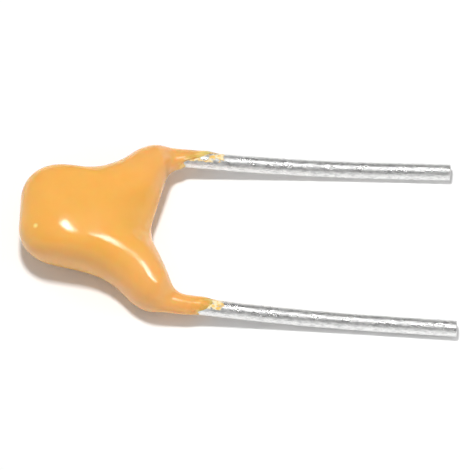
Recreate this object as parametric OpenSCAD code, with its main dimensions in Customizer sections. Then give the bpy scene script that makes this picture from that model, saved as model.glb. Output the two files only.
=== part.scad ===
// Radial multilayer ceramic capacitor: a chip between two wire leads, dipped in epoxy.
// Sizes are in millimetres, angles in degrees. The part lies as it comes to rest,
// leads along +X and +Z up. Left (+Y) and right (-Y) are seen from the bead along the leads.

/* [Chip] */
// Length of the chip from lead to lead
chip_l = 1.25; // [1.1:0.05:1.4]
// Width of the chip along the leads
chip_w = 1.0; // [0.8:0.05:1.2]
// Thickness of the chip
chip_t = 0.9; // [0.7:0.05:1.1]
// Plates that each termination feeds
plates = 6; // [3:1:8]
// Thickness of one plate
plate_t = 0.02; // [0.015:0.005:0.03]
// Ceramic above the top plate and below the bottom plate
cover_t = 0.1; // [0.06:0.02:0.16]
// Ceramic beside the plates and past their free ends
margin = 0.15; // [0.08:0.01:0.2]

/* [Terminations] */
// Thickness of the end cap metal
cap_t = 0.03; // [0.02:0.005:0.06]
// Length of the cap over the sides of the chip
cap_band = 0.3; // [0.2:0.05:0.4]
// Solder between cap and wire
solder_t = 0.03; // [0.02:0.005:0.06]
// Height of the solder fillet on the cap
solder_h = 0.7; // [0.6:0.05:0.8]

/* [Leads] */
// Diameter of the tinned wire
wire_d = 0.5; // [0.4:0.02:0.6]
// Distance between the wire axes where they leave the coating
pitch = 4.85; // [4.6:0.05:5.1]
// Outward lean of each lead after its second bend
splay = 1.3; // [0:0.1:2]
// Angle of the kink to the leads
kink_angle = 45; // [40:1:50]
// Radius of the wire axis in both bends
bend_r = 1.2; // [1:0.05:1.3]
// Distance from the chip to the first bend of the left lead
kink_left = 0.65; // [0.55:0.05:0.8]
// Distance from the chip to the first bend of the right lead
kink_right = 0.85; // [0.7:0.05:0.95]
// Radius of the gentle curve that lays the leads down
set_r = 36; // [22:1:40]
// Length of the left lead that lies flat
tip_left = 1.95; // [1.2:0.05:4]
// Length of the right lead that lies flat
tip_right = 2.3; // [1.2:0.05:4]

/* [Coating] */
// Epoxy beyond the chip at the closed end
coat_end = 0.64; // [0.6:0.02:0.9]
// Epoxy over each face of the chip
coat_face = 0.6; // [0.5:0.05:0.8]
// Epoxy beside the wires at the neck
coat_side = 0.38; // [0.32:0.02:0.48]
// Clearance between the coating and the chip, caps and solder that it holds
clearance = 0.005; // [0.002:0.001:0.01]
// Epoxy over the wires on the arms
film = 0.05; // [0.04:0.01:0.1]
// Thickness of the coating at the neck
neck_t = 1.85; // [1.6:0.05:2]
// Thickness of the arms where the wires bend out
arm_t = 1.5; // [1.3:0.02:1.6]
// Corner radius of the closed end
corner_r = 1.0; // [0.8:0.05:1.05]
// Radius of the hollow between bulb and arm
neck_r = 2.4; // [2:0.1:2.6]
// Narrowing of the bulb towards its closed end
taper = 3.0; // [2:0.2:4.4]
// Turn of the chip and bulb against the leads
turn = 5; // [3:0.5:6]
// Fullness of the body sections
fullness = 3.0; // [2.6:0.1:3.4]
// Distance from the chip to the edge of the web between the arms
web_l = 2.35; // [2.2:0.05:2.5]
// Radius in the middle of the web's edge
web_mid_r = 1.4; // [1.1:0.1:1.8]
// Radius between the web's edge and the leads
web_r = 0.45; // [0.35:0.05:0.6]
// Slope of the web's edge at the left arm
web_left = 77; // [70:1:80]
// Slope of the web's edge at the right arm
web_right = 65; // [60:1:70]
// End of the coating past the web, outside of the left lead
end_left_outer = 1.9; // [1.6:0.05:2.2]
// End of the coating past the web, inside of the left lead
end_left_inner = 0.75; // [0.65:0.05:1]
// End of the coating past the web, outside of the right lead
end_right_outer = 1.45; // [1.2:0.05:1.7]
// End of the coating past the web, inside of the right lead
end_right_inner = 2.05; // [1.6:0.05:2.2]

/* [Hidden] */
LEFT = 1;
RIGHT = -1;
$fn = 48;
rings = 28;
ring_points = 40;
arc_steps = 12;
thinning = 0.002;
overlap = 0.02;
wire_r = wire_d / 2;
sleeve_r = wire_r + film;
cap_face = chip_l / 2 + cap_t;
wire_in = cap_face + solder_t + wire_r;
chip_end = coat_end + chip_w;
neck_w = wire_in + wire_r + coat_side;
body_r = chip_t / 2 + coat_face;
web_x = chip_end + web_l;
set_x = web_x + max(end_left_outer, end_left_inner, end_right_outer, end_right_inner) + 2 * film;
neck_x = chip_end + (kink_left + kink_right) / 2;
chip_centre = [coat_end + chip_w / 2, (neck_x - coat_end - chip_w / 2) * tan(turn)];

function heading(a) = [cos(a), sin(a)];
function angle_of(v) = atan2(v.y, v.x);
function unit(v) = v / norm(v);
function side_y(side, p) = [p.x, side * p.y];
function pick(side, left, right) = side == LEFT ? left : right;

// Axis of a wire in the plane of the bead: inner end, first bend, second bend, start of the curve
function bend_y(x) = pitch / 2 - (set_x - x) * tan(splay);
function wire_axis(side) =
    let (
        along = heading(-turn),
        mid = chip_centre + side * wire_in * heading(90 - turn),
        start = mid - along * chip_w / 2,
        first = mid + along * (chip_end + pick(side, kink_left, kink_right) - mid.x) / cos(turn),
        out = heading(side * kink_angle),
        reach = (bend_y(first.x) - side * first.y) / (sin(kink_angle) - cos(kink_angle) * tan(splay))
    )
    [start, first, first + out * reach, [set_x, side * pitch / 2]];

// Rounding of corner b of the line a, b, c with radius r: half its angle, length cut off, points of the arc
function half_angle(a, b, c) = acos(unit(a - b) * unit(c - b)) / 2;
function cut_length(a, b, c) = bend_r / tan(half_angle(a, b, c));
function corner_arc(a, b, c, r) =
    let (
        half = half_angle(a, b, c),
        centre = b + unit(unit(a - b) + unit(c - b)) * r / sin(half),
        from = angle_of(b + unit(a - b) * r / tan(half) - centre),
        sweep = sign(cross(b - a, c - b)) * (180 - 2 * half)
    )
    [for (i = [0:arc_steps]) centre + r * heading(from + sweep * i / arc_steps)];
function rounded(p, radii) =
    let (last = len(p) - 1)
    concat(
        [p[0]],
        [for (i = [1:last - 1]) each corner_arc(p[i - 1], p[i], p[i + 1], radii[i - 1])],
        [p[last]]
    );

// A line that is read by its length: x by length, y by length, whole length
function measured(p) =
    let (
        last = len(p) - 1,
        steps = [for (i = [0:last]) i == 0 ? 0 : norm(p[i] - p[i - 1])],
        s = [for (i = 0, sum = 0; i <= last; i = i + 1, sum = sum + (i <= last ? steps[i] : 0)) sum]
    )
    [[for (i = [0:last]) [s[i], p[i].x]], [for (i = [0:last]) [s[i], p[i].y]], s[last]];
function spot(line, s) = [lookup(s, line[0]), lookup(s, line[1])];

// Smooth curve through keys [x, y] that never overshoots; first scales the slope at its start
function rise(keys, i) = (keys[i + 1].y - keys[i].y) / (keys[i + 1].x - keys[i].x);
function knot(keys, i, first) =
    i == 0 ? first * rise(keys, 0)
    : i == len(keys) - 1 ? rise(keys, i - 1)
    : rise(keys, i - 1) * rise(keys, i) <= 0 ? 0
    : 2 / (1 / rise(keys, i - 1) + 1 / rise(keys, i));
function eased(keys, s, first) =
    let (
        i = max([for (k = [0:len(keys) - 2]) if (k == 0 || s >= keys[k].x) k]),
        h = keys[i + 1].x - keys[i].x,
        t = (s - keys[i].x) / h
    )
    keys[i].y * (1 + 2 * t) * pow(1 - t, 2) + h * knot(keys, i, first) * t * pow(1 - t, 2)
    + keys[i + 1].y * (3 - 2 * t) * t * t + h * knot(keys, i + 1, first) * (t - 1) * t * t;

// Half outlines of the coating, from the middle of the bead to the end on a lead
function outer_line(side) =
    let (
        axis = wire_axis(side),
        kink = side_y(side, axis[1]) + sleeve_r * heading(90 + kink_angle),
        out_y = function (x) bend_y(x) + sleeve_r / cos(splay),
        neck = [kink.x + (neck_w - kink.y) / tan(kink_angle), neck_w],
        crest_x = (out_y(0) - kink.y + kink.x * tan(kink_angle)) / (tan(kink_angle) - tan(splay)),
        mid_y = side * neck_x * tan(turn),
        corner = [0, neck_w - neck.x * tan(taper) + mid_y],
        end_x = web_x + pick(side, end_left_outer, end_right_outer)
    )
    measured(rounded(
        [[0, mid_y], corner, neck, [crest_x, out_y(crest_x)], [end_x, out_y(end_x)]],
        [corner_r, neck_r, bend_r + sleeve_r]
    ));
function inner_line(side) =
    let (
        slope = pick(side, web_left, web_right),
        in_y = function (x) bend_y(x) - sleeve_r / cos(splay),
        rise_y = web_mid_r * tan((90 - slope) / 2),
        foot_x = (in_y(0) - rise_y + web_x * tan(slope)) / (tan(slope) - tan(splay)),
        end_x = web_x + pick(side, end_left_inner, end_right_inner)
    )
    measured(rounded(
        [[web_x, 0], [web_x, rise_y], [foot_x, in_y(foot_x)], [end_x, in_y(end_x)]],
        [web_mid_r, web_r]
    ));

// One side of the coating as rings: full sections in the bulb that become round on the lead
function half_coat(side) =
    let (
        outer = outer_line(side),
        inner = inner_line(side),
        bend_x = wire_axis(side)[2].x,
        outer_bend = outer[2] - (web_x + pick(side, end_left_outer, end_right_outer) - bend_x),
        inner_bend = inner[2] - (web_x + pick(side, end_left_inner, end_right_inner) - bend_x - wire_r),
        neck = 0.55 * outer_bend,
        inner_keys = [[0, 0], [neck, 0.42 * inner_bend], [outer_bend, inner_bend], [outer[2], inner[2]]],
        thin = outer_bend + 0.45 * (outer[2] - outer_bend),
        thick_keys = [[0, body_r], [neck, neck_t / 2], [outer_bend, arm_t / 2], [thin, wire_r + 1.6 * film],
            [outer[2], sleeve_r]]
    )
    [for (k = [0:rings])
        let (
            s = outer[2] * k / rings,
            o = spot(outer, s),
            i = spot(inner, eased(inner_keys, s, 1)),
            half_t = eased(thick_keys, s, 0),
            t = min(1, max(0, (s - neck) / (outer_bend - neck))),
            body = 1 - t * t * (3 - 2 * t)
        )
        section(side_y(side, i), side_y(side, o), half_t, 2 + (fullness - 2) * body)];
function swell(c, power) = sign(c) * pow(abs(c), 2 / power);
function section(i, o, half_t, power) =
    [for (k = [0:ring_points - 1])
        let (
            a = 360 * k / ring_points,
            across = (i + o) / 2 + (o - i) / 2 * swell(cos(a), power)
        )
        [across.x, across.y, half_t * swell(sin(a), power)]];

left_rings = half_coat(LEFT);
right_rings = half_coat(RIGHT);
coat_rings = concat([for (k = [rings:-1:1]) right_rings[k]], left_rings);
coat_points = [for (ring = coat_rings) each ring];
last_ring = len(coat_points) - ring_points;
coat_faces = concat(
    [[for (j = [0:ring_points - 1]) j]],
    [for (i = [0:len(coat_rings) - 2], j = [0:ring_points - 1])
        let (a = i * ring_points, k = (j + 1) % ring_points)
        [a + j, a + ring_points + j, a + ring_points + k, a + k]],
    [[for (j = [ring_points - 1:-1:0]) last_ring + j]]
);

// The part lies on the bead and on the flat lead ends: the tilt at which both are equally low
function coat_low(a) = min([for (p = coat_points) p.z * cos(a) - p.x * sin(a)]);
function lead_low(a) = -set_x * sin(a) - set_r * (1 - cos(a)) - wire_r;
function rest_tilt(low, high, steps) =
    let (mid = (low + high) / 2)
    steps == 0 ? mid
    : coat_low(mid) < lead_low(mid) ? rest_tilt(mid, high, steps - 1)
    : rest_tilt(low, mid, steps - 1);
tilt = rest_tilt(0, 30, 26);
function tip_run(tip) = set_r * sin(tilt) + tip * cos(tilt);
function tip_x(tip) =
    (set_x + tip_run(tip) * cos(splay)) * cos(tilt) + (set_r * (1 - cos(tilt)) + tip * sin(tilt)) * sin(tilt);
function tip_y(tip) = pitch / 2 + tip_run(tip) * sin(splay);
bead_x = min([for (p = coat_points) p.x * cos(tilt) + p.z * sin(tilt)]);
rest_x = (bead_x + max(tip_x(tip_left), tip_x(tip_right))) / 2;
rest_y = (tip_y(tip_left) - tip_y(tip_right)) / 2;

module at_rest() {
    translate([-rest_x, -rest_y, -coat_low(tilt)])
    rotate([0, tilt, 0])
    children();
}

module chip_frame() {
    translate([chip_centre.x, chip_centre.y, 0])
    rotate([0, 0, -turn])
    children();
}

module chip_block(gap = 0) {
    cube([chip_w, chip_l, chip_t] + 2 * gap * [1, 1, 1], center = true);
}

module plate_set(side) {
    step = (chip_t - 2 * cover_t - plate_t) / (2 * plates - 1);
    for (i = [0:plates - 1])
        translate([0, side * margin / 2, (2 * i + (side == LEFT ? 0 : 1) - plates + 0.5) * step])
        cube([chip_w - 2 * margin, chip_l - margin, plate_t], center = true);
}

module cap_box(side, gap = 0) {
    translate([0, side * (cap_face - (cap_t + cap_band) / 2), 0])
    cube([chip_w + 2 * cap_t, cap_t + cap_band, chip_t + 2 * cap_t] + 2 * gap * [1, 1, 1], center = true);
}

module cap(side) {
    difference() {
        cap_box(side);
        chip_block();
    }
}

module solder_wedge(side, gap = 0) {
    high = solder_h / 2 + gap;
    low = wire_r / 2 + gap;
    translate([-chip_w / 2 - gap, 0, 0])
    rotate([90, 0, 90])
    linear_extrude(chip_w + 2 * gap)
    polygon(side * [[cap_face, -high], [cap_face, high], [wire_in, low], [wire_in, -low]]);
}

module solder_bead(side) {
    difference() {
        solder_wedge(side);
        translate([-chip_w, side * wire_in, 0])
        rotate([0, 90, 0])
        cylinder(d = wire_d, h = 2 * chip_w);
    }
}

// A straight length of wire along +X that runs a little into the bends; what follows is drawn from its end
module straight(l) {
    translate([-overlap, 0, 0])
    rotate([0, 90, 0])
    cylinder(d = wire_d, h = l + (($children > 0) ? 2 : 1) * overlap);
    translate([l, 0, 0])
    children();
}

// A bend of radius r, drawn a little thinner, that turns by a, to the left if a > 0
module bend(a, r) {
    way = sign(a);
    mirror([0, way < 0 ? 1 : 0, 0])
    translate([0, r, 0])
    rotate([0, 0, -90])
    rotate_extrude(angle = abs(a))
    translate([r, 0])
    circle(d = wire_d - thinning);
    translate([0, way * r, 0])
    rotate([0, 0, a])
    translate([0, -way * r, 0])
    children();
}

module lead(side, tip) {
    axis = wire_axis(side);
    first = cut_length(axis[0], axis[1], axis[2]);
    second = cut_length(axis[1], axis[2], axis[3]);
    chip_frame()
    translate([overlap - chip_w / 2, side * wire_in, 0])
    straight(norm(axis[1] - axis[0]) - first - overlap)
    bend(side * kink_angle + turn, bend_r)
    straight(norm(axis[2] - axis[1]) - first - second)
    bend(side * (splay - kink_angle), bend_r)
    straight(norm(axis[3] - axis[2]) - second)
    rotate([90, 0, 0])
    bend(tilt, set_r)
    straight(tip);
}

module epoxy_coating() {
    color([0.97, 0.71, 0.35])
    at_rest()
    difference() {
        polyhedron(coat_points, coat_faces);
        chip_frame() {
            chip_block(clearance);
            cap_box(LEFT, clearance);
            cap_box(RIGHT, clearance);
            solder_wedge(LEFT, clearance);
            solder_wedge(RIGHT, clearance);
        }
        lead(LEFT, tip_left);
        lead(RIGHT, tip_right);
    }
}

module ceramic_dielectric() {
    color([0.8, 0.75, 0.66])
    at_rest()
    chip_frame()
    difference() {
        chip_block();
        plate_set(LEFT);
        plate_set(RIGHT);
    }
}

module electrodes_left() {
    color([0.56, 0.56, 0.58])
    at_rest()
    chip_frame()
    plate_set(LEFT);
}

module electrodes_right() {
    color([0.56, 0.56, 0.58])
    at_rest()
    chip_frame()
    plate_set(RIGHT);
}

module termination_left() {
    color([0.74, 0.74, 0.76])
    at_rest()
    chip_frame()
    cap(LEFT);
}

module termination_right() {
    color([0.74, 0.74, 0.76])
    at_rest()
    chip_frame()
    cap(RIGHT);
}

module solder_left() {
    color([0.69, 0.7, 0.72])
    at_rest()
    chip_frame()
    solder_bead(LEFT);
}

module solder_right() {
    color([0.69, 0.7, 0.72])
    at_rest()
    chip_frame()
    solder_bead(RIGHT);
}

module lead_left() {
    color([0.8, 0.8, 0.79])
    at_rest()
    lead(LEFT, tip_left);
}

module lead_right() {
    color([0.8, 0.8, 0.79])
    at_rest()
    lead(RIGHT, tip_right);
}

epoxy_coating();
ceramic_dielectric();
electrodes_left();
electrodes_right();
termination_left();
termination_right();
solder_left();
solder_right();
lead_left();
lead_right();
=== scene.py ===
# %% [markdown]
# # A dipped ceramic capacitor
# A small layered chip sits between two tinned wires, and all three were dipped in yellow-orange epoxy.
# What shows is one glossy bead with two arms that thin out along the wires, and two bare wire ends.
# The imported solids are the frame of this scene. We keep the hidden chip as it is, and draw the bead and
# the wires again as finer skins in the same place.

# %% Load the frame
import math

import bpy
import numpy as np
from mathutils import Matrix, Vector


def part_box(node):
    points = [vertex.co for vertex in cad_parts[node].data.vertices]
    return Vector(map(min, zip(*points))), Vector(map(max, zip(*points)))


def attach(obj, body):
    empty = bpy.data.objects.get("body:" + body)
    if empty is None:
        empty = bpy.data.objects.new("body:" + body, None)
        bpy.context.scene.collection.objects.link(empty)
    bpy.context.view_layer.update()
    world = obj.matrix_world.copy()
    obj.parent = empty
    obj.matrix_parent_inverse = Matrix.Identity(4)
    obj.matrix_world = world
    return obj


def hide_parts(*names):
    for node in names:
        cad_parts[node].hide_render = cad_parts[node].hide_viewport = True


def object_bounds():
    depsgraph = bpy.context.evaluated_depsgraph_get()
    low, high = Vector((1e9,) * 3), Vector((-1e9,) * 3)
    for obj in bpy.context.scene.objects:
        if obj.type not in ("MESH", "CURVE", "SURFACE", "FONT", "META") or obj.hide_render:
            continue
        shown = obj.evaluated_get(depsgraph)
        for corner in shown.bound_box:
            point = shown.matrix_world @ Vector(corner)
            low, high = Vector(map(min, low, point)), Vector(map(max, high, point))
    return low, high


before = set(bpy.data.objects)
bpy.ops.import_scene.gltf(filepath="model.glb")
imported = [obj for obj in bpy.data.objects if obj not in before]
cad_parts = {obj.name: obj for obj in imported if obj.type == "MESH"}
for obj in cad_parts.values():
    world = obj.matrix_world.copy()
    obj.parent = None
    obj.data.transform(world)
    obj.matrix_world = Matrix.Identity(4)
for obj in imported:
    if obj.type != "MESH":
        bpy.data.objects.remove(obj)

cad_low, cad_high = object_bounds()
print("solids:", sorted(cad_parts))
print("size in mm:", [round(1000 * (high - low), 2) for low, high in zip(cad_low, cad_high)])

# %% [markdown]
# ## The plane of the bead
# The part lies on the bead and on its wire tips, so the bead's own plane is tilted against the floor.
# We could type that angle in. It is safer to read it from the solids: the chip is a plain block, so its
# top face gives the tilt and the middle of its box gives a fixed point. Lengths are in millimetres until
# the mesh is made.

# %% Measure the tilt and set up the bead's frame
MM = 0.001
chip_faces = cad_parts["ceramic_dielectric"].data.polygons
chip_top = max((face.normal for face in chip_faces), key=lambda normal: normal.z)
tilt = math.atan2(chip_top.x, chip_top.z)
chip_low, chip_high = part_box("ceramic_dielectric")
chip_middle = np.array((chip_low + chip_high) / 2) / MM
to_world = np.array(Matrix.Rotation(tilt, 3, "Y"))


def lie_down(points, chip_centre):
    """Points of the bead's plane, turned by the tilt and moved so that the chip meets its solid."""
    return (points - chip_centre) @ to_world.T + chip_middle


print("tilt of the bead in degrees:", round(math.degrees(tilt), 2))

# %% [markdown]
# ## The drawing
# These are the sizes that the solids were drawn from. The bead's closed end is at x = 0 and the wires run
# towards +x. Left is +y. Where the two sides differ, a pair holds the left value and then the right one.

# %% Sizes of chip, wires and coating
LEFT, RIGHT = 1, -1
chip_l, chip_w, cap_t, solder_t = 1.25, 1.0, 0.03, 0.03
wire_r, pitch, splay = 0.25, 4.85, math.radians(1.3)
kink_angle, bend_r, set_r = math.radians(45), 1.2, 36.0
kink, tip = {LEFT: 0.65, RIGHT: 0.85}, {LEFT: 1.95, RIGHT: 2.3}
coat_end, coat_side, film = 0.64, 0.38, 0.05
body_r, neck_t, arm_t = 1.05, 1.85, 1.5
corner_r, neck_r, taper, turn = 1.0, 2.4, math.radians(3.0), math.radians(5)
web_l, web_mid_r, web_r = 2.35, 1.4, 0.45
web_slope = {LEFT: math.radians(77), RIGHT: math.radians(65)}
end_outer, end_inner = {LEFT: 1.9, RIGHT: 1.45}, {LEFT: 0.75, RIGHT: 2.05}

sleeve_r = wire_r + film
wire_in = chip_l / 2 + cap_t + solder_t + wire_r
chip_end = coat_end + chip_w
neck_w = wire_in + wire_r + coat_side
web_x = chip_end + web_l
set_x = web_x + max(*end_outer.values(), *end_inner.values()) + 2 * film
neck_x = chip_end + (kink[LEFT] + kink[RIGHT]) / 2
chip_centre = np.array([coat_end + chip_w / 2, (neck_x - coat_end - chip_w / 2) * math.tan(turn), 0])
print("half width at the neck:", neck_w, " web edge at x =", web_x)

# %% [markdown]
# ## Lines with rounded corners
# The outline of the bead and the axis of each wire are straight stretches joined by arcs. A line is kept
# as an array of points. To read it at any length we add up the distances between its points and let numpy
# interpolate, which turns every outline into a function of one parameter.

# %% Rounded lines
def heading(angle):
    """The direction at that angle in the bead's plane."""
    return np.array([math.cos(angle), math.sin(angle)])


def rounded(corners, radii, steps=40):
    """Each inner corner is swapped for an arc that touches both of its straight stretches."""
    parts = [corners[:1]]
    for before, corner, after, r in zip(corners, corners[1:], corners[2:], radii):
        back, ahead = before - corner, after - corner
        back, ahead = back / np.linalg.norm(back), ahead / np.linalg.norm(ahead)
        half = math.acos(back @ ahead) / 2
        inward = (back + ahead) / np.linalg.norm(back + ahead)
        centre = corner + inward * r / math.sin(half)
        start = corner + back * r / math.tan(half) - centre
        turn_way = np.sign(back[1] * ahead[0] - back[0] * ahead[1])
        sweep = turn_way * (math.pi - 2 * half) * np.linspace(0, 1, steps)
        arc = np.stack([start[0] * np.cos(sweep) - start[1] * np.sin(sweep),
                        start[0] * np.sin(sweep) + start[1] * np.cos(sweep)], axis=1)
        parts.append(centre + arc)
    return np.concatenate(parts + [corners[-1:]])


def lengths(line):
    """Distance along a line of points, from zero at its first point."""
    return np.concatenate([[0], np.cumsum(np.linalg.norm(np.diff(line, axis=0), axis=1))])


def spot(line, s):
    """Points of a line at the lengths s."""
    along = lengths(line)
    return np.stack([np.interp(s, along, column) for column in line.T], axis=-1)


def softened(line, reach, count=1500):
    """The line at even steps, averaged with a bell curve of that reach; its ends stay where they are."""
    even = spot(line, np.linspace(0, lengths(line)[-1], count))
    width = int(3 * reach / lengths(line)[-1] * count)
    bell = np.exp(-0.5 * (np.arange(-width, width + 1) / width * 3) ** 2)
    first = 2 * even[0] - even[width:0:-1]
    last = 2 * even[-1] - even[-2:-width - 2:-1]
    longer = np.concatenate([first, even, last])
    return np.stack([np.convolve(column, bell / bell.sum(), "valid") for column in longer.T], axis=1)


# %% Smooth curves through a few values
def eased(keys, s, first=1.0):
    """A cubic through the keys without overshoot: a key's slope is the harmonic mean of its two sides."""
    x, y = np.array(keys, float).T
    rise = np.diff(y) / np.diff(x)
    product = rise[:-1] * rise[1:]
    mean = np.where(product > 0, 2 * product / np.where(product > 0, rise[:-1] + rise[1:], 1), 0)
    slope = np.concatenate([[first * rise[0]], mean, [rise[-1]]])
    i = np.clip(np.searchsorted(x, s, "right") - 1, 0, len(x) - 2)
    h = np.diff(x)[i]
    t = (s - x[i]) / h
    return (y[i] * (1 + 2 * t) * (1 - t) ** 2 + h * slope[i] * t * (1 - t) ** 2
            + y[i + 1] * (3 - 2 * t) * t ** 2 + h * slope[i + 1] * (t - 1) * t ** 2)


def smooth_step(t):
    """0 up to t = 0, 1 from t = 1 on, and a soft rise between."""
    t = np.clip(t, 0, 1)
    return t * t * (3 - 2 * t)


# %% [markdown]
# ## Skins from rings
# Both the bead and the wires are profiles carried along a path, so both end up as a grid of points: one
# row per profile, one column per angle. One helper turns such a grid into a closed mesh, with a fan of
# triangles at each end. The signed volume shows whether the faces point outwards.

# %% Turn a grid of rings into a closed mesh
def skin(name, rings):
    """Quads between neighbouring rings and a fan over the first and the last ring."""
    count, around, _ = rings.shape
    points = np.concatenate([rings.reshape(-1, 3), rings[[0, -1]].mean(axis=1)]) * MM
    row = np.arange(count - 1)[:, None] * around
    here = np.arange(around)
    after = (here + 1) % around
    quads = np.stack([row + here, row + after, row + around + after, row + around + here], axis=-1)
    last = (count - 1) * around
    fans = np.concatenate([
        np.stack([after, here, np.full(around, count * around)], axis=1),
        np.stack([last + here, last + after, np.full(around, count * around + 1)], axis=1)])
    mesh = bpy.data.meshes.new(name)
    mesh.from_pydata(points.tolist(), [], quads.reshape(-1, 4).tolist() + fans.tolist())
    mesh.polygons.foreach_set("use_smooth", np.ones(len(mesh.polygons), bool))
    piece = bpy.data.objects.new(name, mesh)
    bpy.context.scene.collection.objects.link(piece)
    mesh.calc_loop_triangles()
    tri = np.empty(3 * len(mesh.loop_triangles), np.int32)
    mesh.loop_triangles.foreach_get("vertices", tri)
    a, b, c = (points[tri[k::3]] / MM for k in range(3))
    volume = np.einsum("ij,ij->i", a, np.cross(b, c)).sum() / 6
    print(f"{name}: {len(tri) // 3} triangles, {volume:.2f} mm3")
    return piece


def store(piece, name, values):
    """Keeps one number or one vector per point on the mesh, for the materials to read."""
    values = np.asarray(values, np.float32)
    kind, field = ("FLOAT_VECTOR", "vector") if values.ndim == 2 else ("FLOAT", "value")
    attribute = piece.data.attributes.new(name, kind, "POINT")
    attribute.data.foreach_set(field, values.ravel())


# %% [markdown]
# ## The route of a wire
# Each wire starts beside the chip, runs along it, kinks outwards, bends straight again, and then curves
# very gently until its tip lies flat on the floor. The flat part of the route is a rounded line. The last
# curve leaves the bead's plane, so it is added as an arc in height.

# %% Route of a wire
def bend_y(x):
    """Distance of a wire's straight stretch from the middle line."""
    return pitch / 2 - (set_x - x) * math.tan(splay)


def wire_corners(side):
    """Inner end, first bend, second bend and the start of the last curve, in the bead's plane."""
    along, out = heading(-turn), heading(side * kink_angle)
    middle = chip_centre[:2] + side * wire_in * heading(math.pi / 2 - turn)
    first = middle + along * (chip_end + kink[side] - middle[0]) / math.cos(turn)
    reach = (bend_y(first[0]) - side * first[1]) / (
        math.sin(kink_angle) - math.cos(kink_angle) * math.tan(splay))
    return np.array([middle - along * chip_w / 2, first, first + out * reach, [set_x, side * pitch / 2]])


def wire_route(side):
    """The rounded line in the plane, then the arc of radius set_r that ends level, then the flat tip."""
    flat = rounded(wire_corners(side), [bend_r, bend_r])
    rise = np.linspace(0, tilt, 60)
    tip_run, tip_rise = tip[side] * math.cos(tilt), tip[side] * math.sin(tilt)
    run = np.append(set_r * np.sin(rise), set_r * math.sin(tilt) + tip_run)
    height = np.append(set_r * (1 - np.cos(rise)), set_r * (1 - math.cos(tilt)) + tip_rise)
    onward = flat[-1] + run[:, None] * heading(side * splay)
    planar = np.column_stack([flat, np.zeros(len(flat))])
    return np.concatenate([planar[:-1], np.column_stack([onward, height])])


print("wire lengths:", {side: round(lengths(wire_route(side))[-1], 2) for side in (LEFT, RIGHT)})

# %% [markdown]
# ## The wires
# A circle carried along the route gives the wire. A curve with a bevel would do that too, but rings of our
# own can be shaped: hot tinning leaves the skin slightly uneven, so the radius wavers by a few
# thousandths, and the cut at the tip is a little slanted and has a rounded edge. Two things are kept on
# the mesh for the material: the place on the straightened wire, and how likely a fleck of epoxy is there,
# which is high only on the upper side and falls to nothing just past the dip line. The flecks' pale tone
# is partly a painted glint.

# %% Sweep a circle along each route
WIRE_RINGS, WIRE_AROUND, CUT_RINGS = 420, 72, 6
unevenness, wave_turns = 0.008, (1, 2, 3, 1, 2)
slow_wave, fast_wave = 1.5, 6.0
cut_round = 0.02
cut_slant = {LEFT: math.radians(3), RIGHT: math.radians(-2)}
cut_l = 2.5 * cut_round


def waver(along, angle, seed):
    """Smooth unevenness between -1 and 1: a few sine waves along the wire that wind around it."""
    draw = np.random.default_rng(seed)
    total = 0
    for turns in wave_turns:
        rate, phase = draw.uniform(slow_wave, fast_wave), draw.uniform(0, 2 * math.pi, 2)
        total = total + np.sin(rate * along + phase[0]) * np.cos(turns * angle + phase[1])
    return total / len(wave_turns)


def wire_rings(route, side, seed):
    """A circle of the wire's radius, square to the route, with smaller circles that round off the cut."""
    whole = lengths(route)[-1]
    s = np.linspace(0, whole, WIRE_RINGS)
    path = spot(route, s)
    forward = np.gradient(path, s, axis=0)
    forward /= np.linalg.norm(forward, axis=1, keepdims=True)
    across = np.cross([0, 0, 1.0], forward)
    across /= np.linalg.norm(across, axis=1, keepdims=True)
    upward = np.cross(forward, across)
    angle = np.linspace(0, 2 * math.pi, WIRE_AROUND, endpoint=False)
    radius = wire_r * (1 - unevenness + unevenness * waver(s[:, None], angle, seed))
    rings = path[:, None] + radius[..., None] * (
        np.cos(angle)[:, None] * across[:, None] + np.sin(angle)[:, None] * upward[:, None])
    rounding = np.linspace(0, math.pi / 2, CUT_RINGS + 1)[1:, None]
    tip_r = radius[-1] - cut_round * (1 - np.cos(rounding))
    tip_out = cut_round * (np.sin(rounding) - 1) + tip_r * np.cos(angle) * math.tan(cut_slant[side])
    cut = path[-1] + tip_out[..., None] * forward[-1] + tip_r[..., None] * (
        np.cos(angle)[:, None] * across[-1] + np.sin(angle)[:, None] * upward[-1])
    keep = s < whole - cut_l
    return np.concatenate([rings[keep], cut]), np.append(s[keep], np.full(len(cut), whole)), angle


# %% Make both wires
fleck_share, fleck_reach = {LEFT: 1.2, RIGHT: 1.5}, 0.55
fleck_side, fleck_from, fleck_soft = math.radians(75), 0.3, 0.5


def wire(side, name, seed):
    """The swept rings as a skin, with the straightened place and the share of flecks at every point."""
    route = wire_route(side)
    rings, straight, angle = wire_rings(route, side, seed)
    piece = skin(name, lie_down(rings, chip_centre))
    around = wire_r * np.cos(angle), wire_r * np.sin(angle)
    unrolled = np.stack(np.broadcast_arrays(straight[:, None], *around), -1)
    ends = [[0, 0, 0], [straight[-1], 0, 0]]
    store(piece, "straight_wire", np.concatenate([unrolled.reshape(-1, 3), ends]))
    dip_x = web_x + max(end_outer[side], end_inner[side])
    dip_line = np.interp(dip_x, route[:, 0], lengths(route))
    near_dip = fleck_share[side] * smooth_step((dip_line + fleck_reach - straight) / fleck_reach)
    on_top = smooth_step((np.cos(angle - fleck_side) - fleck_from) / fleck_soft)
    store(piece, "splashed", np.append(np.outer(near_dip, on_top), [0, 0]))
    return piece


wires = {LEFT: wire(LEFT, "tinned_wire_left", 3), RIGHT: wire(RIGHT, "tinned_wire_right", 8)}

# %% [markdown]
# ## Outlines of the coating
# Seen from above, each half of the bead lies between an outer outline, from the closed end around the
# shoulder and along the outside of the wire, and an inner outline, the web between the two arms. They
# could be drawn as curves by hand. As rounded lines they follow the wires by themselves. A little
# averaging removes the jump in curvature where an arc meets a straight, because gloss shows it at once.

# %% Draw the half outlines
OUTSIDE, INSIDE = 1, -1
soft_reach = 0.12


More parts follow.
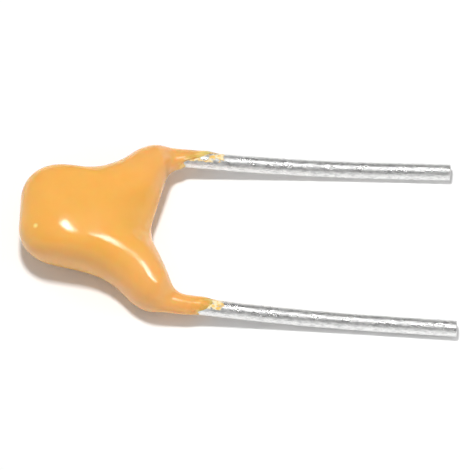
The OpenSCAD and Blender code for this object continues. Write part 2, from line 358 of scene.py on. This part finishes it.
def sleeve_y(x, way):
    """Distance from the middle line to the sleeve's outer or inner edge on the straight stretch."""
    return bend_y(x) + way * sleeve_r / math.cos(splay)


def outer_line(side):
    """From the middle of the closed end, around corner and neck, to the end on the wire's outer side."""
    steep, flat = math.tan(kink_angle), math.tan(splay)
    first = wire_corners(side)[1] * [1, side] + sleeve_r * heading(math.pi / 2 + kink_angle)
    neck = np.array([first[0] + (neck_w - first[1]) / steep, neck_w])
    crest = (sleeve_y(0, OUTSIDE) - first[1] + first[0] * steep) / (steep - flat)
    middle = side * neck_x * math.tan(turn)
    end = web_x + end_outer[side]
    corners = [[0, middle], [0, neck_w - neck[0] * math.tan(taper) + middle], neck,
               [crest, sleeve_y(crest, OUTSIDE)], [end, sleeve_y(end, OUTSIDE)]]
    return softened(rounded(np.array(corners), [corner_r, neck_r, bend_r + sleeve_r]), soft_reach)


def inner_line(side):
    """From the middle of the web, up its slope, to the end on the wire's inner side."""
    slope = math.tan(web_slope[side])
    rise = web_mid_r * math.tan((math.pi / 2 - web_slope[side]) / 2)
    foot = (sleeve_y(0, INSIDE) - rise + web_x * slope) / (slope - math.tan(splay))
    end = web_x + end_inner[side]
    corners = [[web_x, 0], [web_x, rise], [foot, sleeve_y(foot, INSIDE)], [end, sleeve_y(end, INSIDE)]]
    return softened(rounded(np.array(corners), [web_mid_r, web_r]), soft_reach)


print("outer outlines:", [round(lengths(outer_line(side))[-1], 2) for side in (LEFT, RIGHT)])
print("inner outlines:", [round(lengths(inner_line(side))[-1], 2) for side in (LEFT, RIGHT)])

# %% [markdown]
# ## The sections of the coating
# Metaballs would melt bead and arms together too, but not to a given thickness. So one section stands
# between each pair of outline points. In the bulb it is a full oval, a superellipse that is a little
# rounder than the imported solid. On the side of the web and along the arm it turns into a plain ellipse,
# and at last into the round sleeve of a wire. The edge of the web sags a little, so its wall leans
# outwards and shows from above.

# %% Rings of one half
COAT_RINGS, COAT_AROUND = 300, 128
neck_at, neck_at_inside, thin_at = 0.55, 0.42, 0.45
fullness, droop, thin_film = 2.5, 0.2, 1.6 * film
web_from, web_soft = 0.2, 0.6


def swell(c, power):
    """A sine or cosine bent so that a circle becomes a superellipse of that power."""
    return np.sign(c) * np.abs(c) ** (2 / power)


def half_coat(side):
    """Sections along the outer outline; thickness and inner partner are eased between named places."""
    outer, inner = outer_line(side), inner_line(side)
    whole, whole_in = lengths(outer)[-1], lengths(inner)[-1]
    bend_x = wire_corners(side)[2][0]
    bend = whole - (web_x + end_outer[side] - bend_x)
    bend_in = whole_in - (web_x + end_inner[side] - bend_x - wire_r)
    neck = neck_at * bend
    thin = bend + thin_at * (whole - bend)
    s = np.linspace(0, whole, COAT_RINGS)
    partner = eased([[0, 0], [neck, neck_at_inside * bend_in], [bend, bend_in], [whole, whole_in]], s)
    o, i = spot(outer, s) * [1, side], spot(inner, partner) * [1, side]
    half_t = eased([[0, body_r], [neck, neck_t / 2], [bend, arm_t / 2], [thin, wire_r + thin_film],
                    [whole, sleeve_r]], s, first=0)
    angle = np.linspace(0, 2 * math.pi, COAT_AROUND, endpoint=False)
    web_side = smooth_step((-np.cos(angle) - web_from) / web_soft)
    full = (1 - smooth_step((s - bend) / (thin - bend)))[:, None] * (1 - web_side)
    power = 2 + (fullness - 2) * full
    w, rise = swell(np.cos(angle), power), swell(np.sin(angle), power)
    plan = ((i + o) / 2)[:, None] + ((o - i) / 2)[:, None] * w[..., None]
    sag = droop * (1 - smooth_step(s / bend))[:, None] * ((1 - w) / 2) ** 3
    height = half_t[:, None] * rise - sag * (1 + np.minimum(rise, 0))
    arm = smooth_step((s - neck) / (bend - neck))
    return np.concatenate([plan, height[..., None]], axis=-1), s, angle, thin, whole, arm


print("points of one half:", half_coat(LEFT)[0].shape[:2])

# %% [markdown]
# ## The end of the dip
# Where the dip line ends, the epoxy doesn't stop at a clean edge: it thins to nothing, runs further on
# one side of the wire and leaves a few lumps. The sections slide along the wire by a wavy amount that
# depends on the angle, and their thickness falls to a thin lip that tucks into the wire.

# %% Thin and ragged ends, joined into one skin
lip, tuck, fade_l = 0.006, 0.03, 0.35
lump_size, lump_rate = 0.25, 9
# Waves of the dip line around the wire: size in millimetres, number of waves, phase.
ragged = {LEFT: ((0.10, 2, 0.4), (0.07, 3, 2.0), (0.05, 5, 4.1)),
          RIGHT: ((0.14, 1, -1.0), (0.04, 4, 1.1), (0.03, 7, 0.2))}


def on_the_wire(side):
    """The same rings with the ragged, thinning end, and each ring's share of arm and of thin film."""
    rings, s, angle, thin, whole, arm = half_coat(side)
    sleeve = smooth_step((s - thin) / (whole - thin))
    slide = sum(size * np.cos(turns * angle + phase) for size, turns, phase in ragged[side])
    rings[..., 0] += (sleeve ** 2)[:, None] * slide
    axis_y = side * bend_y(rings[..., 0])
    fade = smooth_step((s - whole + fade_l) / fade_l)[:, None]
    wave = np.sin(lump_rate * s[:, None] + 2 * angle) * np.cos(3 * angle + side)
    lumps = lump_size * wave * sleeve[:, None]
    radial = np.stack([rings[..., 1] - axis_y, rings[..., 2]], axis=-1)
    size = np.linalg.norm(radial, axis=-1)
    wanted = size + fade * (wire_r + lip - size) + (1 - fade) * lumps * film
    scale = np.where(sleeve[:, None] > 0, 1 + sleeve[:, None] * (wanted / size - 1), 1)
    rings[..., 1] = axis_y + radial[..., 0] * scale
    rings[..., 2] = radial[..., 1] * scale
    end = rings[-1:].copy()
    end[..., 1] = axis_y[-1] + (end[..., 1] - axis_y[-1]) * (wire_r - tuck) / (wire_r + lip)
    end[..., 2] *= (wire_r - tuck) / (wire_r + lip)
    shares = np.stack([arm, sleeve])
    return np.concatenate([rings, end]), np.concatenate([shares, shares[:, -1:]], axis=1)


left_rings, left_shares = on_the_wire(LEFT)
right_rings, right_shares = on_the_wire(RIGHT)
coating = skin("dipped_epoxy", lie_down(np.concatenate([right_rings[:0:-1], left_rings]), chip_centre))
shares = np.concatenate([right_shares[:, :0:-1], left_shares], axis=1)
for name, share in zip(("arm", "film"), shares):
    store(coating, name, np.append(np.repeat(share, COAT_AROUND), [1, 1]))

# %% [markdown]
# ## Materials
# Every finish is a small node tree on the Principled shader. Short helpers make the nodes, and the patterns
# read places in millimetres, so noise of scale 10 has lumps of about a tenth of a millimetre.

# %% Helpers for node trees
def finish(name, **sockets):
    """A material with one Principled shader whose plain sockets are set by name."""
    material = bpy.data.materials.new(name)
    material.use_nodes = True
    tree = material.node_tree
    shader = tree.nodes["Principled BSDF"]
    for socket, value in sockets.items():
        shader.inputs[socket.replace("_", " ")].default_value = value
    return material, tree, shader


def plug(tree, socket, value):
    """Links a socket to another one, or sets it to a plain value."""
    if isinstance(value, bpy.types.NodeSocket):
        tree.links.new(value, socket)
    else:
        socket.default_value = value


def node(tree, kind, inputs=(), **settings):
    """Adds a node, sets its properties, and links or sets its inputs by name or number."""
    made = tree.nodes.new(kind)
    for key, value in settings.items():
        setattr(made, key, value)
    for key, value in dict(inputs).items():
        plug(tree, made.inputs[key], value)
    return made


def combine(tree, operation, first, second):
    """A maths node on two numbers, with an operation such as MULTIPLY or MAXIMUM."""
    return node(tree, "ShaderNodeMath", {0: first, 1: second}, operation=operation).outputs[0]


def stored(tree, name, output="Fac"):
    """What was kept on the mesh under that name."""
    return node(tree, "ShaderNodeAttribute", attribute_name=name).outputs[output]


def stretched(tree, vector, scale):
    """The vector with each coordinate multiplied by its own scale."""
    return node(tree, "ShaderNodeMapping", {"Vector": vector, "Scale": scale}).outputs["Vector"]


def in_millimetres(tree, stretch=(1, 1, 1)):
    """Object coordinates times 1000, with an optional stretch of the pattern."""
    place = node(tree, "ShaderNodeTexCoord").outputs["Object"]
    return stretched(tree, place, [1000 * k for k in stretch])


# %% Helpers for patterns
def noise(tree, vector, scale, detail=3.0, rough=0.5):
    """Cloudy noise around 0.5, with about that many lumps per unit of the vector."""
    inputs = {"Vector": vector, "Scale": scale, "Detail": detail, "Roughness": rough}
    return node(tree, "ShaderNodeTexNoise", inputs).outputs["Fac"]


def ramp(tree, value, stops):
    """A colour ramp through stops of (place, colour or grey)."""
    made = node(tree, "ShaderNodeValToRGB", {"Fac": value})
    band = made.color_ramp
    while len(band.elements) < len(stops):
        band.elements.new(0.5)
    for element, (place, colour) in zip(band.elements, stops):
        element.position = place
        element.color = (*colour, 1) if isinstance(colour, tuple) else (colour, colour, colour, 1)
    return made.outputs["Color"]


def mix(tree, share, first, second):
    """From the first colour to the second as the share goes from 0 to 1."""
    made = node(tree, "ShaderNodeMix", {0: share}, data_type="RGBA")
    for key, value in ((6, first), (7, second)):
        plug(tree, made.inputs[key], (*value, 1) if isinstance(value, tuple) else value)
    return made.outputs[2]


def bump(tree, height, distance, strength=1.0, under=None):
    """Turns a height pattern into a normal, on top of an earlier bump if one is given."""
    made = node(tree, "ShaderNodeBump", {"Height": height, "Distance": distance, "Strength": strength})
    if under is not None:
        tree.links.new(under, made.inputs["Normal"])
    return made.outputs["Normal"]


# %% [markdown]
# ## Epoxy
# The dip is a smooth, slightly milky orange-yellow with a wet gloss. Plain gloss would look like hard
# plastic, so some light is let in under the surface. The dip is a little paler on the arms, where the
# layer is thinner. On the wires it is only a film: bumpy enough to break the gloss into glints, and paler
# in flecks, which are partly the film's own tone and partly painted glints. One painted glint, a pale
# speck, sits near the closed end. Its distance is squeezed in height, so it reaches the surface whatever
# the exact thickness there.

# %% Epoxy
epoxy, tree, shader = finish("dipped epoxy", IOR=1.55, Subsurface_Weight=0.6, Subsurface_Scale=0.7 * MM)
place = in_millimetres(tree)
bulb_tone = ramp(tree, noise(tree, place, 0.9), [(0.3, (0.85, 0.434, 0.081)), (0.7, (0.88, 0.458, 0.094))])
arm_tone = ramp(tree, noise(tree, place, 1.4), [(0.3, (0.83, 0.430, 0.110)), (0.7, (0.86, 0.450, 0.126))])
# The paler film stop is partly the thin film's own tone over tin and partly painted glints.
film_and_glint_tone = ramp(tree, noise(tree, place, 5.0, 4), [(0.45, (0.84, 0.42, 0.09)), (0.62, (0.92, 0.60, 0.19))])
film_share = ramp(tree, stored(tree, "film"), [(0.4, 0.0), (0.95, 1.0)])
thick_tone = mix(tree, stored(tree, "arm"), bulb_tone, arm_tone)
tone = mix(tree, film_share, thick_tone, film_and_glint_tone)

# A painted glint: a pale yellow spot mixed into the base colour near the closed end.
squeeze, painted_glint_r = 0.3, 0.09
painted_glint, painted_glint_tone = (-6.05, -0.64, squeeze * 2.08), (1.0, 0.86, 0.32)
flatter = in_millimetres(tree, (1, 1, squeeze))
from_painted_glint = node(tree, "ShaderNodeVectorMath", {0: flatter, 1: painted_glint}, operation="DISTANCE")
near_painted_glint = ramp(tree, from_painted_glint.outputs["Value"], [(0.3 * painted_glint_r, 0.85), (painted_glint_r, 0.0)])
tree.links.new(mix(tree, near_painted_glint, tone, painted_glint_tone), shader.inputs["Base Color"])
tree.links.new(ramp(tree, noise(tree, place, 2.5), [(0.3, 0.12), (0.7, 0.17)]), shader.inputs["Roughness"])

skin_bump = bump(tree, noise(tree, place, 1.6, 2), 0.01 * MM, 0.6)
film_height = combine(tree, "MULTIPLY", noise(tree, place, 5.5, 2), film_share)
tree.links.new(bump(tree, film_height, 0.05 * MM, 1.0, skin_bump), shader.inputs["Normal"])

# %% [markdown]
# ## Tin
# The wires were drawn through hot tin. A plain metal would mirror the room too cleanly: the layer is bright
# but patchy, with short grains along the wire, duller spots and tiny ripples. The pattern follows the
# straightened wire, so it bends with the route. Next to the dip line small flecks of epoxy have stayed on
# the metal. Their colour runs from orange to a pale cream, and the cream is partly a painted glint.

# %% Tinned wire
tin, tree, shader = finish("tinned wire")
along = stored(tree, "straight_wire", "Vector")
grain = noise(tree, stretched(tree, along, (2.8, 7, 7)), 2.2, 5, 0.62)
patches = noise(tree, stretched(tree, along, (1.2, 3, 3)), 1.6, 4, 0.6)
bare = ramp(tree, grain, [(0.32, (0.58, 0.58, 0.58)), (0.55, (0.87, 0.87, 0.86))])
tree.links.new(ramp(tree, patches, [(0.35, 0.22), (0.65, 0.42)]), shader.inputs["Roughness"])

drops = combine(tree, "MULTIPLY", noise(tree, along, 6.0, 2), stored(tree, "splashed"))
fleck_low, fleck_high = 0.50, 0.60
fleck_and_glint = ramp(tree, drops, [(fleck_low, 0.0), (fleck_high, 1.0)])
metal = ramp(tree, drops, [(fleck_low, 1.0), (fleck_high, 0.0)])
fleck_grain = noise(tree, along, 11.0, 2)
# The pale cream end of the fleck tone is partly a painted glint.
fleck_and_glint_tone = ramp(tree, fleck_grain, [(0.40, (0.93, 0.58, 0.14)), (0.60, (1.0, 0.86, 0.55))])
tree.links.new(mix(tree, fleck_and_glint, bare, fleck_and_glint_tone), shader.inputs["Base Color"])
tree.links.new(metal, shader.inputs["Metallic"])
tin_bump = bump(tree, grain, 0.03 * MM, 0.75)
tree.links.new(bump(tree, fleck_and_glint, 0.02 * MM, 0.8, tin_bump), shader.inputs["Normal"])

# %% [markdown]
# ## The hidden chip
# The chip, its plates, caps and solder sit inside the epoxy and keep their solids. They get their own
# finishes all the same, so that a cut-open view of the part looks right. They differ only in tone, grain
# and gloss, so one function makes all four.

# %% Ceramic, plates, caps and solder
gloss_spread, speckle_height = 0.08, 0.004 * MM


def speckled(name, dark, light, scale, roughness, **sockets):
    """Two tones in a fine speckle, with the same speckle in roughness and height."""
    material, tree, shader = finish(name, **sockets)
    speckle = noise(tree, in_millimetres(tree), scale, 4)
    dull = ramp(tree, speckle, [(0.3, roughness - gloss_spread), (0.7, roughness + gloss_spread)])
    tree.links.new(ramp(tree, speckle, [(0.35, dark), (0.65, light)]), shader.inputs["Base Color"])
    tree.links.new(dull, shader.inputs["Roughness"])
    tree.links.new(bump(tree, speckle, speckle_height), shader.inputs["Normal"])
    return material


ceramic = speckled("fired ceramic", (0.52, 0.45, 0.34), (0.64, 0.56, 0.44), 14, 0.6)
plate_metal = speckled("plate metal", (0.36, 0.36, 0.38), (0.5, 0.5, 0.52), 20, 0.4, Metallic=1.0)
cap_metal = speckled("plated cap", (0.6, 0.6, 0.62), (0.74, 0.74, 0.76), 16, 0.32, Metallic=1.0)
solder_metal = speckled("solder", (0.52, 0.53, 0.55), (0.68, 0.69, 0.71), 9, 0.35, Metallic=1.0)

# %% [markdown]
# ## Put the pieces in the frame
# Each new skin rides on the part's one body and stands for the solid that it covers, and gets its
# finish.

# %% Ride, replace and paint
for piece, solid, slot, material in (
        (coating, "epoxy_coating", "epoxy", epoxy),
        (wires[LEFT], "lead_left", "tinned_wire", tin),
        (wires[RIGHT], "lead_right", "tinned_wire", tin)):
    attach(piece, "root")
    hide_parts(solid)
    piece.data.materials.append(material)

hidden = {"ceramic_dielectric": ceramic, "electrodes_left": plate_metal, "electrodes_right": plate_metal,
          "termination_left": cap_metal, "termination_right": cap_metal,
          "solder_left": solder_metal, "solder_right": solder_metal}
for name, material in hidden.items():
    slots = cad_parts[name].data.materials
    slots.clear()
    slots.append(material)
print("painted solids:", len(hidden))

# %% [markdown]
# ## Floor
# The part lies on white paper. A white background alone would show no shadow, so the paper is a large
# square. A small glow lifts it to a clean white. Only the camera and mirrored or see-through rays meet the
# glow, so it adds no light of its own to matt surfaces, and the shadow stays.

# %% Floor
floor_half, floor_drop = 1.0, 0.01 * MM
paper_tone, paper_glow = 0.93, 0.05
floor_mesh = bpy.data.meshes.new("paper_floor")
corners = floor_half * np.array([[-1, -1, 0], [1, -1, 0], [1, 1, 0], [-1, 1, 0]])
floor_mesh.from_pydata((corners - [0, 0, floor_drop]).tolist(), [], [[0, 1, 2, 3]])
floor = bpy.data.objects.new("paper_floor", floor_mesh)
bpy.context.scene.collection.objects.link(floor)

paper, tree, shader = finish("white paper", Roughness=1.0, Specular_IOR_Level=0.0)
shader.inputs["Base Color"].default_value = (paper_tone, paper_tone, paper_tone, 1)
shader.inputs["Emission Color"].default_value = (1, 1, 1, 1)
rays = node(tree, "ShaderNodeLightPath").outputs
seen = combine(tree, "MAXIMUM", rays["Is Camera Ray"], rays["Is Glossy Ray"])
seen = combine(tree, "MAXIMUM", seen, rays["Is Transmission Ray"])
tree.links.new(combine(tree, "MULTIPLY", seen, paper_glow), shader.inputs["Emission Strength"])
floor_mesh.materials.append(paper)
print("floor edge in m:", 2 * floor_half)

# %% [markdown]
# ## Lamps
# A soft round lamp hangs overhead, a little beyond the part, and gives the shadow. A weak one near the
# wire tips thins the shadow there. Gloss needs something bright to mirror: two small lamps beyond the
# part, one nearly above the bulb and one further along the wires. One lamp could do both jobs, but then
# the shadow and the highlights could not be placed apart, so each lamp acts on matt or on gloss alone.

# %% Lamps
def lamp(name, size, place, level, acts_on):
    """A round lamp that looks at the origin and would light a surface facing it to that level."""
    light = bpy.data.lights.new(name, "AREA")
    light.shape, light.size = "DISK", size
    light.energy = level * (math.pi * place.length) ** 2
    made = bpy.data.objects.new(name, light)
    made.location = place
    made.rotation_euler = place.to_track_quat("Z", "Y").to_euler()
    made.visible_diffuse, made.visible_glossy = acts_on == "matt", acts_on == "gloss"
    bpy.context.scene.collection.objects.link(made)


def away(along_x, beyond, distance):
    """A place that far away, leaning from overhead towards +x and +y by these angles in degrees."""
    lean = Vector((math.tan(math.radians(along_x)), math.tan(math.radians(beyond)), 1))
    return distance * lean.normalized()


overhead, by_the_tips = Vector((-0.0058, 0.0078, 0.068)), Vector((0.011, -0.004, 0.010))
above_bulb, above_arm = away(-0.5, 10.8, distance=0.3), away(19.8, 12.0, distance=0.3)
lamp("overhead lamp", size=0.010, place=overhead, level=0.735, acts_on="matt")
lamp("tip lamp", size=0.005, place=by_the_tips, level=0.11, acts_on="matt")
lamp("gloss lamp bulb", size=0.050, place=above_bulb, level=0.19, acts_on="gloss")
lamp("gloss lamp arm", size=0.048, place=above_arm, level=0.115, acts_on="gloss")

# %% [markdown]
# ## The room
# The room fills the shadow and gives the wires their bands. A picture of a studio could serve, but ramps
# over the direction of a ray do the same without a file. The walls are white near the floor and the
# ceiling is dim. The far wall is dim too, which leaves the wires a dark upper edge. The walls towards the
# viewer and the closed end are bright in reflections, but light the part only moderately.

# %% Room
ceiling, far_tone, near_fill = 0.30, (0.28, 0.28, 0.28), (0.42, 0.42, 0.42)
near_way = (-0.7, -0.7, 0)
world = bpy.data.worlds.new("white room")
bpy.context.scene.world = world
world.use_nodes = True
tree = world.node_tree
ray = node(tree, "ShaderNodeTexCoord").outputs["Generated"]
way = node(tree, "ShaderNodeSeparateXYZ", {0: ray}).outputs
walls = ramp(tree, way["Z"], [(0.10, 1.0), (0.24, ceiling)])
near_seen = ramp(tree, way["Z"], [(0.15, 1.0), (0.60, ceiling)])
mirrored = node(tree, "ShaderNodeLightPath").outputs["Is Glossy Ray"]
near_walls = mix(tree, mirrored, near_fill, near_seen)
towards = node(tree, "ShaderNodeVectorMath", {0: ray, 1: near_way}, operation="DOT_PRODUCT")
near = ramp(tree, towards.outputs["Value"], [(0.2, 0.0), (0.5, 1.0)])
far = ramp(tree, way["Y"], [(0.15, 0.0), (0.50, 1.0)])
room = mix(tree, near, mix(tree, far, walls, far_tone), near_walls)
tree.links.new(room, tree.nodes["Background"].inputs["Color"])
print("nodes of the room:", len(tree.nodes))

# %% [markdown]
# ## Camera
# The picture looks down at 65 degrees with a long lens, so near and far wires look equally thick. The
# camera is placed from three values of the picture: its scale, the turn of the part and where the part's
# origin falls in the frame.

# %% Camera
frame_px, px_per_mm = 470, 33.4
origin_px = np.array([239.6, 244.2])
part_turn, elevation = math.radians(-2.8), math.radians(65)
lens, sensor = 400.0, 36.0
right = Vector((math.cos(part_turn), -math.sin(part_turn), 0))
back = Vector((-math.sin(part_turn) * math.cos(elevation), -math.cos(part_turn) * math.cos(elevation),
               math.sin(elevation)))
up = back.cross(right)
middle = Vector((0, 0, (cad_low.z + cad_high.z) / 2))
shown_px = origin_px - [0, middle.z / MM * up.z * px_per_mm]
off = (frame_px / 2 - shown_px) / px_per_mm * MM
aim = middle + right * off[0] - up * off[1]
camera = bpy.data.cameras.new("camera")
camera.lens, camera.sensor_width = lens, sensor
camera.clip_start, camera.clip_end = 0.001, 10
camera_object = bpy.data.objects.new("camera", camera)
camera_object.location = aim + back * (frame_px / px_per_mm * MM * lens / sensor)
camera_object.rotation_euler = Matrix((right, up, back)).transposed().to_euler()
bpy.context.scene.collection.objects.link(camera_object)
bpy.context.scene.camera = camera_object
bpy.context.scene.view_settings.view_transform = "Standard"
print("camera distance in mm:", round((camera_object.location - aim).length / MM, 1))
